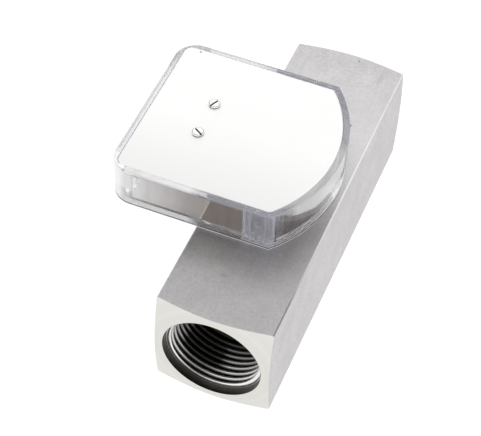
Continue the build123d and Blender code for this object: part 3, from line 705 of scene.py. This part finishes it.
def dull(name, dark, light, rough, grain_size, depth):
    """A dull, non-metal surface with a fine grain."""
    finish = Finish(name)
    grain = finish.noise(grain_size, detail=3.0)
    finish.surface(
        Base_Color=finish.blend(dark, light, grain),
        Roughness=rough + 0.1 * (grain - 0.5),
        Normal=finish.bump(grain, depth),
    )


for name, look in DULL_LOOKS.items():
    dull(name, *look)

# %% Flag paint
FLAG_DARK, FLAG_LIGHT, FLAG_SHADE = (0.07, 0.036, 0.024), (0.12, 0.065, 0.045), (0.022, 0.017, 0.014)
FLAG_GRAIN, FLAG_DEPTH = 0.4 * MM, 0.008 * MM
FLAG_SHADE_STARTS = span(3.2, 4.4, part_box("pointer_flag")[0].z)


def flag_paint():
    """Matt red-brown paint, made darker as painted shade in the housing, and darker still along the flag's
    upper half as painted shade.
    """
    paint = Finish("flag_brown")
    grain = paint.noise(FLAG_GRAIN, detail=3.0)
    # Painted shade on the flag's upper half.
    upper = paint.rise(paint.axes()[2], *FLAG_SHADE_STARTS)
    brown = paint.blend(FLAG_DARK, FLAG_LIGHT, grain)
    paint.surface(
        Base_Color=paint.blend(brown, FLAG_SHADE, upper),
        Roughness=0.55 + 0.1 * grain,
        Normal=paint.bump(grain, FLAG_DEPTH),
    )


flag_paint()

# %% [markdown]
# ## Dressing the solids
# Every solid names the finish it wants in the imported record, so one loop can dress them all. Two
# of them have a look of their own.

# %% Dress the solids
own_looks = {"housing_base": "smoky_plastic", "locating_pins": "dull_pins"}
for subpart in frame["record"]["subparts"]:
    solid = frame["nodes"][subpart["node"]]
    solid.data.materials.clear()
    solid.data.materials.append(finishes[own_looks.get(solid.name, subpart["material_slot"])])

# %% [markdown]
# ## Recipes that grow a mesh
# Geometry Nodes suit what repeats or follows a path. A recipe is a tree with named inputs. It
# is run once on an empty object, and its result is kept as a plain mesh, because the pieces
# are exported without modifiers.

# %% Recipes
class Recipe(Tree):
    """A Geometry Nodes tree with named inputs, which ends in a plain mesh with one material."""

    def __init__(self, name):
        super().__init__(bpy.data.node_groups.new(name, "GeometryNodeTree"))
        sockets = self.tree.interface
        sockets.new_socket("Mesh", in_out="OUTPUT", socket_type="NodeSocketGeometry")
        self.inputs = self.tree.nodes.new("NodeGroupInput")

    def size(self, name, kind="NodeSocketFloat"):
        """A named input of the recipe."""
        socket = self.tree.interface.new_socket(name, in_out="INPUT", socket_type=kind)
        return Value(self, self.pick(self.inputs.outputs, socket.identifier))

    def sizes(self, *names):
        return [self.size(name) for name in names]

    def swept(self, path, profile, **sockets):
        """A solid strand: the profile drawn along the path, with closed ends."""
        sockets = {"Curve": path, "Profile Curve": profile, "Fill Caps": True, **sockets}
        return self.node("GeometryNodeCurveToMesh", sockets=sockets)

    def moved(self, shape, **change):
        """The shape after a Rotation or a Translation."""
        return self.node("GeometryNodeTransform", sockets={"Geometry": shape, **change})

    def ends_with(self, mesh, material, smooth=True):
        real = self.node("GeometryNodeRealizeInstances", sockets={"Geometry": mesh})
        if smooth:
            real = self.node("GeometryNodeSetShadeSmooth", sockets={"Geometry": real})
        done = self.node("GeometryNodeSetMaterial", sockets={"Geometry": real, "Material": material})
        self.node("NodeGroupOutput", sockets={0: done})


def new_piece(name, mesh):
    piece = bpy.data.objects.new(name, mesh)
    bpy.context.scene.collection.objects.link(piece)
    return piece


def settled(piece):
    """Keeps what the piece's modifiers make as its own plain mesh."""
    depsgraph = bpy.context.evaluated_depsgraph_get()
    mesh = bpy.data.meshes.new_from_object(piece.evaluated_get(depsgraph))
    piece.modifiers.clear()
    piece.data = mesh
    return piece


def grown(name, recipe, sizes):
    """Runs a recipe with the given sizes and keeps the mesh."""
    piece = new_piece(name, bpy.data.meshes.new(name))
    modifier = piece.modifiers.new("recipe", "NODES")
    modifier.node_group = recipe.tree
    for item in recipe.tree.interface.items_tree:
        if item.in_out == "INPUT" and item.name in sizes:
            modifier[item.identifier] = sizes[item.name]
    settled(piece)
    print(name, "has", len(piece.data.polygons), "faces")
    return piece


# %% [markdown]
# ## The housing's moulded edges
# A mould leaves a small round on every edge, and in clear plastic those rounds are what is seen
# first: each one draws a bright and a dark line. The solids have knife edges, so the housing's
# two halves are copied, the triangles of each flat face are joined again, and every edge that
# turns sharply gets a round. The normals of the flat faces are kept flat beside it.

# %% Moulded housing
WELD_DISTANCE = 0.002 * MM
FLAT_ANGLE = math.radians(0.4)
SHARP_ANGLE = math.radians(50)
MOULDED_ROUND = 0.2 * MM


def moulded(node, name):
    """A copy of a solid whose sharp edges are rounded."""
    solid = frame["nodes"][node]
    mesh = bpy.data.meshes.new(name)
    corners = [solid.matrix_world @ vertex.co for vertex in solid.data.vertices]
    mesh.from_pydata(corners, [], [face.vertices[:] for face in solid.data.polygons])
    shape = bmesh.new()
    shape.from_mesh(mesh)
    bmesh.ops.remove_doubles(shape, verts=shape.verts, dist=WELD_DISTANCE)
    bmesh.ops.dissolve_limit(shape, angle_limit=FLAT_ANGLE, verts=shape.verts, edges=shape.edges)
    open_edges = sum(1 for border in shape.edges if not border.is_manifold)
    shape.to_mesh(mesh)
    shape.free()
    mesh.shade_smooth()
    mesh.set_sharp_from_angle(angle=SHARP_ANGLE)
    piece = new_piece(name, mesh)
    bevel = piece.modifiers.new("edge", "BEVEL")
    bevel.width = MOULDED_ROUND
    bevel.segments = 3
    bevel.limit_method = "ANGLE"
    bevel.angle_limit = SHARP_ANGLE
    bevel.use_clamp_overlap = False
    bevel.harden_normals = True
    settled(piece)
    print(name, "has", len(piece.data.polygons), "faces and", open_edges, "open edges")
    return piece


for node, name in (("housing_cap", "moulded_cap"), ("housing_base", "moulded_base")):
    half = moulded(node, name)
    half.data.materials.append(finishes[own_looks.get(node, "clear_plastic")])
    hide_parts(node)
    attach(half, "meter")

# %% [markdown]
# ## Port threads
# The solid's port is a plain bore at the thread's root. The turns of the thread are one ridge
# that winds along that bore, so a ridge profile swept along a spiral is the real thing. The
# profile has slanted flanks and a rounded crest, and it fades out at both ends as a tap leaves
# it. Both ports have a right-hand thread: the second is the first turned round, not mirrored.

# %% Port threads
RIDGE_FOOT, RIDGE_CREST, RIDGE_ROUND = 0.99, 0.24, 0.11
FADE_PER_TURN = 2.2
FADED_SIZE = 0.02


def thread_recipe():
    """A ridge along a spiral. Its foot, crest and rounding are shares of the pitch."""
    recipe = Recipe("port_thread")
    root_r, depth, pitch = recipe.sizes("Root radius", "Thread depth", "Pitch")
    turns, start, flip = recipe.sizes("Turns", "Start", "Turned round")
    spiral = {"Rotations": turns, "Start Radius": root_r, "End Radius": root_r, "Height": turns * pitch}
    path = recipe.node("GeometryNodeCurveSpiral", sockets={"Resolution": 96, **spiral})
    path = recipe.node("GeometryNodeSetCurveNormal", {"mode": "Z_UP"}, {"Curve": path})
    widths = {"Bottom Width": pitch * RIDGE_FOOT, "Top Width": pitch * RIDGE_CREST}
    shape = recipe.node(
        "GeometryNodeCurvePrimitiveQuadrilateral",
        {"mode": "TRAPEZOID"},
        {**widths, "Height": depth, "Offset": 0.0},
    )
    shape = recipe.moved(shape, Translation=recipe.vector(y=depth / 2))
    shape = recipe.moved(shape, Rotation=(0, 0, -math.pi / 2))
    shape = recipe.node(
        "GeometryNodeFilletCurve",
        {"mode": "POLY"},
        {"Curve": shape, "Count": 5, "Radius": pitch * RIDGE_ROUND, "Limit Radius": True},
    )
    along = recipe.node("GeometryNodeSplineParameter")
    from_start = along * turns * FADE_PER_TURN
    from_end = (1.0 - along) * turns * FADE_PER_TURN
    fade = recipe.maths("MINIMUM", recipe.maths("MINIMUM", from_start, from_end), 1.0)
    ridge = recipe.swept(path, shape, Scale=fade * (1.0 - FADED_SIZE) + FADED_SIZE)
    ridge = recipe.moved(ridge, Rotation=(-math.pi / 2, 0, 0), Translation=recipe.vector(y=start))
    ridge = recipe.moved(ridge, Translation=(0, 0, BORE_HEIGHT))
    turn = recipe.node("FunctionNodeEulerToRotation", sockets={0: recipe.vector(z=flip)})
    recipe.ends_with(recipe.moved(ridge, Rotation=turn), finishes["bar_steel"])
    return recipe


def trimmed(piece, place, outwards):
    """Cuts off what lies beyond a plane and closes the cut."""
    shape = bmesh.new()
    shape.from_mesh(piece.data)
    geometry = [*shape.verts, *shape.edges, *shape.faces]
    bmesh.ops.bisect_plane(shape, geom=geometry, plane_co=place, plane_no=outwards, clear_outer=True)
    rims = [border for border in shape.edges if border.is_boundary]
    bmesh.ops.holes_fill(shape, edges=rims, sides=0)
    bmesh.ops.triangulate(shape, faces=[face for face in shape.faces if len(face.verts) > 4])
    still_open = sum(1 for border in shape.edges if border.is_boundary)
    shape.to_mesh(piece.data)
    shape.free()
    print(piece.name, "trimmed, open edges:", still_open)


LEAD_IN, RUN_OUT = 0.6 * THREAD_PITCH, 0.3 * THREAD_PITCH
SUNK_IN = 0.02 * MM
port_thread = thread_recipe()
thread_start = RECESS_DEPTH - LEAD_IN
thread_length = THREAD_DEPTH - thread_start - RUN_OUT
thread_sizes = {
    "Root radius": THREAD_ROOT_R + SUNK_IN,
    "Thread depth": THREAD_ROOT_R - THREAD_CREST_R + SUNK_IN,
    "Pitch": THREAD_PITCH,
    "Turns": thread_length / THREAD_PITCH,
    "Start": thread_start - BAR_END,
}
inlet_thread = grown("inlet_thread", port_thread, {**thread_sizes, "Turned round": 0.0})
outlet_thread = grown("outlet_thread", port_thread, {**thread_sizes, "Turned round": math.pi})
for thread, end in ((inlet_thread, -1), (outlet_thread, 1)):
    trimmed(thread, (0, end * (BAR_END - RECESS_DEPTH), 0), (0, end, 0))
    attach(thread, "meter")
print("turns of thread:", round(thread_length / THREAD_PITCH, 2))

# %% [markdown]
# ## The return spring
# A real compression spring has its last turns laid flat, so that it stands square on its seats.
# A helix of one pitch can't do that. The path here is a line whose points are moved to a helix
# by a formula, in which the turns run evenly while the way along the spring waits at both ends.

# %% Return spring
WIRE_R = 0.5 * MM
SPRING_TURNS = 10
POINTS_PER_TURN = 48
CLOSED_TURNS = 0.9
WIRES_LAID_FLAT = 1.1


def spring_recipe():
    """A wire along a helix whose first and last turns are closed."""
    recipe = Recipe("closed_spring")
    coil_r, wire_r = recipe.sizes("Coil radius", "Wire radius")
    turns, start, length = recipe.sizes("Turns", "Start", "Length")
    line = recipe.node("GeometryNodeCurvePrimitiveLine")
    line = recipe.node(
        "GeometryNodeResampleCurve", sockets={"Curve": line, "Count": SPRING_TURNS * POINTS_PER_TURN}
    )
    share = recipe.node("GeometryNodeSplineParameter")
    angle = share * turns * (2 * math.pi)
    closed = CLOSED_TURNS / turns
    way = recipe.rise(share, closed, 1.0 - closed)
    flat = WIRES_LAID_FLAT * wire_r / length
    along = start + length * (way * (1.0 - 2.0 * flat) + flat * 2.0 * share)
    spot = recipe.vector(
        coil_r * recipe.maths("SINE", angle), along, BORE_HEIGHT + coil_r * recipe.maths("COSINE", angle)
    )
    path = recipe.node("GeometryNodeSetPosition", sockets={"Geometry": line, "Position": spot})
    wire = recipe.node("GeometryNodeCurvePrimitiveCircle", sockets={"Resolution": 12, "Radius": wire_r})
    recipe.ends_with(recipe.swept(path, wire), finishes["spring_steel"])
    return recipe


spring_low, spring_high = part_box("return_spring")
spring_sizes = {
    "Coil radius": (spring_high.x - spring_low.x) / 2 - WIRE_R,
    "Wire radius": WIRE_R,
    "Turns": float(SPRING_TURNS),
    "Start": spring_low.y + WIRE_R,
    "Length": spring_high.y - spring_low.y - 2 * WIRE_R,
}
closed_spring = grown("closed_spring", spring_recipe(), spring_sizes)
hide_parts("return_spring")
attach(closed_spring, "meter")
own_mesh(closed_spring)

# %% [markdown]
# ## Screws
# A screw is a turned blank with a cut in its head. The blank comes from an outline turned about
# an axis, the slot or cross is cut with a block, and a small bevel takes the sharpness off every
# edge.

# %% Turning and cutting
BROKEN_ANGLE, SHADED_ANGLE = math.radians(35), math.radians(40)


def turned_mesh(name, outline, sides=40):
    """A closed turned mesh from (radius, height) points whose first and last lie on the axis."""
    shape = bmesh.new()
    rings = []
    for radius, height in outline:
        count = sides if radius else 1
        angles = [2 * math.pi * step / sides for step in range(count)]
        rings.append([shape.verts.new((radius * math.cos(a), radius * math.sin(a), height)) for a in angles])
    for lower, upper in zip(rings, rings[1:]):
        for step in range(sides):
            after = (step + 1) % sides
            corners = [lower[step % len(lower)], lower[after % len(lower)]]
            corners += [upper[after % len(upper)], upper[step % len(upper)]]
            shape.faces.new(list(dict.fromkeys(corners)))
    bmesh.ops.recalc_face_normals(shape, faces=shape.faces)
    mesh = bpy.data.meshes.new(name)
    shape.to_mesh(mesh)
    shape.free()
    return mesh


def block(size, place, angle):
    """A block of the given size round a place, turned about the upright axis."""
    shape = bmesh.new()
    turn = Matrix.Rotation(angle, 4, "Z")
    matrix = Matrix.Translation(place) @ turn @ Matrix.Diagonal((*size, 1.0))
    bmesh.ops.create_cube(shape, size=1.0, matrix=matrix)
    mesh = bpy.data.meshes.new("block")
    shape.to_mesh(mesh)
    shape.free()
    return new_piece("cutter", mesh)


def cut(piece, cutters, edge):
    """Takes the cutters out of the piece and breaks its sharp edges."""
    for cutter in cutters:
        slot_cut = piece.modifiers.new("cut", "BOOLEAN")
        slot_cut.operation = "DIFFERENCE"
        slot_cut.solver = "EXACT"
        slot_cut.object = cutter
    bevel = piece.modifiers.new("edge", "BEVEL")
    bevel.width = edge
    bevel.segments = 2
    bevel.limit_method = "ANGLE"
    bevel.angle_limit = BROKEN_ANGLE
    settled(piece)
    for cutter in cutters:
        bpy.data.objects.remove(cutter)
    piece.data.shade_smooth()
    piece.data.set_sharp_from_angle(angle=SHADED_ANGLE)
    return piece


# %% Slotted screws of the face plate
plate_low, plate_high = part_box("plate_screws")
HEAD_R = (plate_high.x - plate_low.x) / 2
SHANK_R = 1.25 * MM
TIP_CHAMFER = 0.3 * MM
HEAD_BREAK_ACROSS, HEAD_BREAK_DOWN = 0.14 * MM, 0.12 * MM
SLOT_WIDTH = 0.6 * MM
SLOT_DEPTH = 0.45 * MM
SLOTTED_EDGE = 0.05 * MM
SLOT_ANGLES = (math.radians(-33), math.radians(66))
screw_x = (plate_low.x + plate_high.x) / 2
screw_ys = (plate_low.y + HEAD_R, plate_high.y - HEAD_R)
slotted_outline = [
    (0, plate_low.z),
    (SHANK_R - TIP_CHAMFER, plate_low.z),
    (SHANK_R, plate_low.z + TIP_CHAMFER),
    (SHANK_R, PLATE_TOP),
    (HEAD_R, PLATE_TOP),
    (HEAD_R, plate_high.z - HEAD_BREAK_DOWN),
    (HEAD_R - HEAD_BREAK_ACROSS, plate_high.z),
    (0, plate_high.z),
]


def slotted_screw(screw_y, slot_angle):
    blank = new_piece("slotted_screw", turned_mesh("slotted_screw", slotted_outline))
    blank.data.transform(Matrix.Translation((screw_x, screw_y, 0)))
    slot_size = (3 * HEAD_R, SLOT_WIDTH, 2 * SLOT_DEPTH)
    slot_block = block(slot_size, (screw_x, screw_y, plate_high.z), slot_angle)
    return cut(blank, [slot_block], SLOTTED_EDGE)


slotted_screws, second_screw = [slotted_screw(*pair) for pair in zip(screw_ys, SLOT_ANGLES)]
joined = bmesh.new()
for screw in (slotted_screws, second_screw):
    joined.from_mesh(screw.data)
joined.to_mesh(slotted_screws.data)
joined.free()
bpy.data.objects.remove(second_screw)
slotted_screws.name = "slotted_screws"
slotted_screws.data.materials.append(finishes["slotted_heads"])
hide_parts("plate_screws")
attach(slotted_screws, "meter")
print("slotted screws at", [round(v / MM, 2) for v in screw_ys], "mm along the bar")

# %% [markdown]
# The four screws of the base are countersunk and have a cross in the head. One finished screw
# is placed on the corners of a grid, and each is turned by its own random angle, as screws
# come to rest when they are driven in.

# %% Countersunk screws of the base
def screw_set_recipe():
    """One screw on each corner of a grid, each at a random angle."""
    recipe = Recipe("screw_set")
    screw = recipe.size("Screw", "NodeSocketObject")
    spacing_x, spacing_y = recipe.sizes("Spacing X", "Spacing Y")
    middle = recipe.size("Middle", "NodeSocketVector")
    seed = recipe.size("Seed", "NodeSocketInt")
    points = recipe.node(
        "GeometryNodeMeshGrid",
        sockets={"Size X": spacing_x, "Size Y": spacing_y, "Vertices X": 2, "Vertices Y": 2},
    )
    spin = recipe.node(
        "FunctionNodeRandomValue",
        {"data_type": "FLOAT"},
        {"Min_001": 0.0, "Max_001": math.pi / 2, "Seed": seed},
        "Value_001",
    )
    turn = recipe.node("FunctionNodeEulerToRotation", sockets={0: recipe.vector(z=spin)})
    one = recipe.node("GeometryNodeObjectInfo", sockets={"Object": screw}, output="Geometry")
    screws = recipe.node(
        "GeometryNodeInstanceOnPoints", sockets={"Points": points, "Instance": one, "Rotation": turn}
    )
    recipe.ends_with(recipe.moved(screws, Translation=middle), finishes["screw_steel"], smooth=False)
    return recipe


base_low, base_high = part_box("base_screws")
COUNTERSUNK_R = 2.8 * MM
BASE_SHANK_R = 1.5 * MM
CROSS_LENGTH = 3.0 * MM
CROSS_WIDTH = 0.6 * MM
CROSS_DEPTH = 1.1 * MM
BASE_TIP_CHAMFER = 0.35 * MM
CROSS_EDGE = 0.06 * MM
tip = base_low.z - base_high.z
countersink = BASE_SHANK_R - COUNTERSUNK_R
countersunk_outline = [
    (0, tip),
    (BASE_SHANK_R - BASE_TIP_CHAMFER, tip),
    (BASE_SHANK_R, tip + BASE_TIP_CHAMFER),
    (BASE_SHANK_R, countersink),
    (COUNTERSUNK_R, 0),
    (0, 0),
]
countersunk = new_piece("countersunk_screw", turned_mesh("countersunk_screw", countersunk_outline))
cross = [
    block((CROSS_LENGTH, CROSS_WIDTH, 2 * CROSS_DEPTH), (0, 0, 0), angle) for angle in (0.0, math.pi / 2)
]
cut(countersunk, cross, CROSS_EDGE)
screw_set_sizes = {
    "Screw": countersunk,
    "Spacing X": base_high.x - base_low.x - 2 * COUNTERSUNK_R,
    "Spacing Y": base_high.y - base_low.y - 2 * COUNTERSUNK_R,
    "Middle": (*((base_low + base_high) / 2).xy, base_high.z),
    "Seed": 4,
}
countersunk_screws = grown("countersunk_screws", screw_set_recipe(), screw_set_sizes)
bpy.data.objects.remove(countersunk)
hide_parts("base_screws")
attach(countersunk_screws, "meter")

# %% [markdown]
# ## Floor, light and camera
# The photograph was taken on a glowing white table: there is no shadow and the paper is pure
# white. The floor therefore gives light itself. The sky is bright near the horizon and darker
# overhead, which is what shades the top of the bar from the far end to the near end and what
# draws the grey lines in the clear edges.

# %% Floor
FLOOR_REACH = 3000.0 * MM
FLOOR_DROP = 0.05 * MM
Finish("floor_white").surface(
    Base_Color=(0.12, 0.12, 0.12), Roughness=0.9, Emission_Color=(1.0, 1.0, 1.0), Emission_Strength=0.97
)
floor_corners = [
    (FLOOR_REACH * across, FLOOR_REACH * along, -FLOOR_DROP)
    for across, along in ((-1, -1), (1, -1), (1, 1), (-1, 1))
]
floor_mesh = bpy.data.meshes.new("floor")
floor_mesh.from_pydata(floor_corners, [], [(0, 1, 2, 3)])
floor = new_piece("floor", floor_mesh)
floor.data.materials.append(finishes["floor_white"])
print("floor reaches", FLOOR_REACH, "m from the middle")

# %% Sky
SKY = [(0.0, 1.15), (0.6, 1.3), (0.68, 1.55), (0.735, 1.5), (0.79, 0.95), (0.86, 0.7), (1.0, 0.7)]
brightest = max(light for _, light in SKY)
stops = [(height, (light / brightest,) * 3) for height, light in SKY]
world = bpy.data.worlds.new("sky")
world.use_nodes = True
bpy.context.scene.world = world
sky = Tree(world.node_tree)
sky.tree.nodes.clear()
direction = sky.node("ShaderNodeTexCoord", output="Generated")
upwards = sky.node("ShaderNodeSeparateXYZ", sockets={"Vector": direction}, output="Z")
colour = sky.node("ShaderNodeValToRGB", {"stops": stops}, {"Fac": upwards}, "Color")
glow = sky.node("ShaderNodeBackground", sockets={"Color": colour, "Strength": brightest})
sky.node("ShaderNodeOutputWorld", sockets={"Surface": glow})
print("brightest part of the sky:", brightest)

# %% [markdown]
# The camera was worked out from the corners of the bar in the photograph: its place, and the
# way it looks, as three angles. The focal length goes with the photograph's width.

# %% Camera
CAMERA_PLACE = (0.119485, -0.369025, 0.466267)
AZIMUTH, ELEVATION, ROLL = (math.radians(a) for a in (20.196, 49.103, 2.49))
FOCAL_PIXELS = 1707.425
PHOTO_WIDTH = 481

back = Vector(
    (math.sin(AZIMUTH) * math.cos(ELEVATION), -math.cos(AZIMUTH) * math.cos(ELEVATION), math.sin(ELEVATION))
)
level = Vector((math.cos(AZIMUTH), math.sin(AZIMUTH), 0))
upright = back.cross(level)
right = math.cos(ROLL) * level + math.sin(ROLL) * upright
up = math.cos(ROLL) * upright - math.sin(ROLL) * level
lens = bpy.data.cameras.new("camera")
lens.sensor_width = 36.0
lens.lens = FOCAL_PIXELS / PHOTO_WIDTH * lens.sensor_width
lens.clip_start = 10.0 * MM
camera = bpy.data.objects.new("camera", lens)
bpy.context.scene.collection.objects.link(camera)
turn = Matrix((right, up, back)).transposed().to_4x4()
camera.matrix_world = Matrix.Translation(CAMERA_PLACE) @ turn
bpy.context.scene.camera = camera
bpy.context.scene.view_settings.view_transform = "Standard"
print("lens in mm:", round(lens.lens, 1))
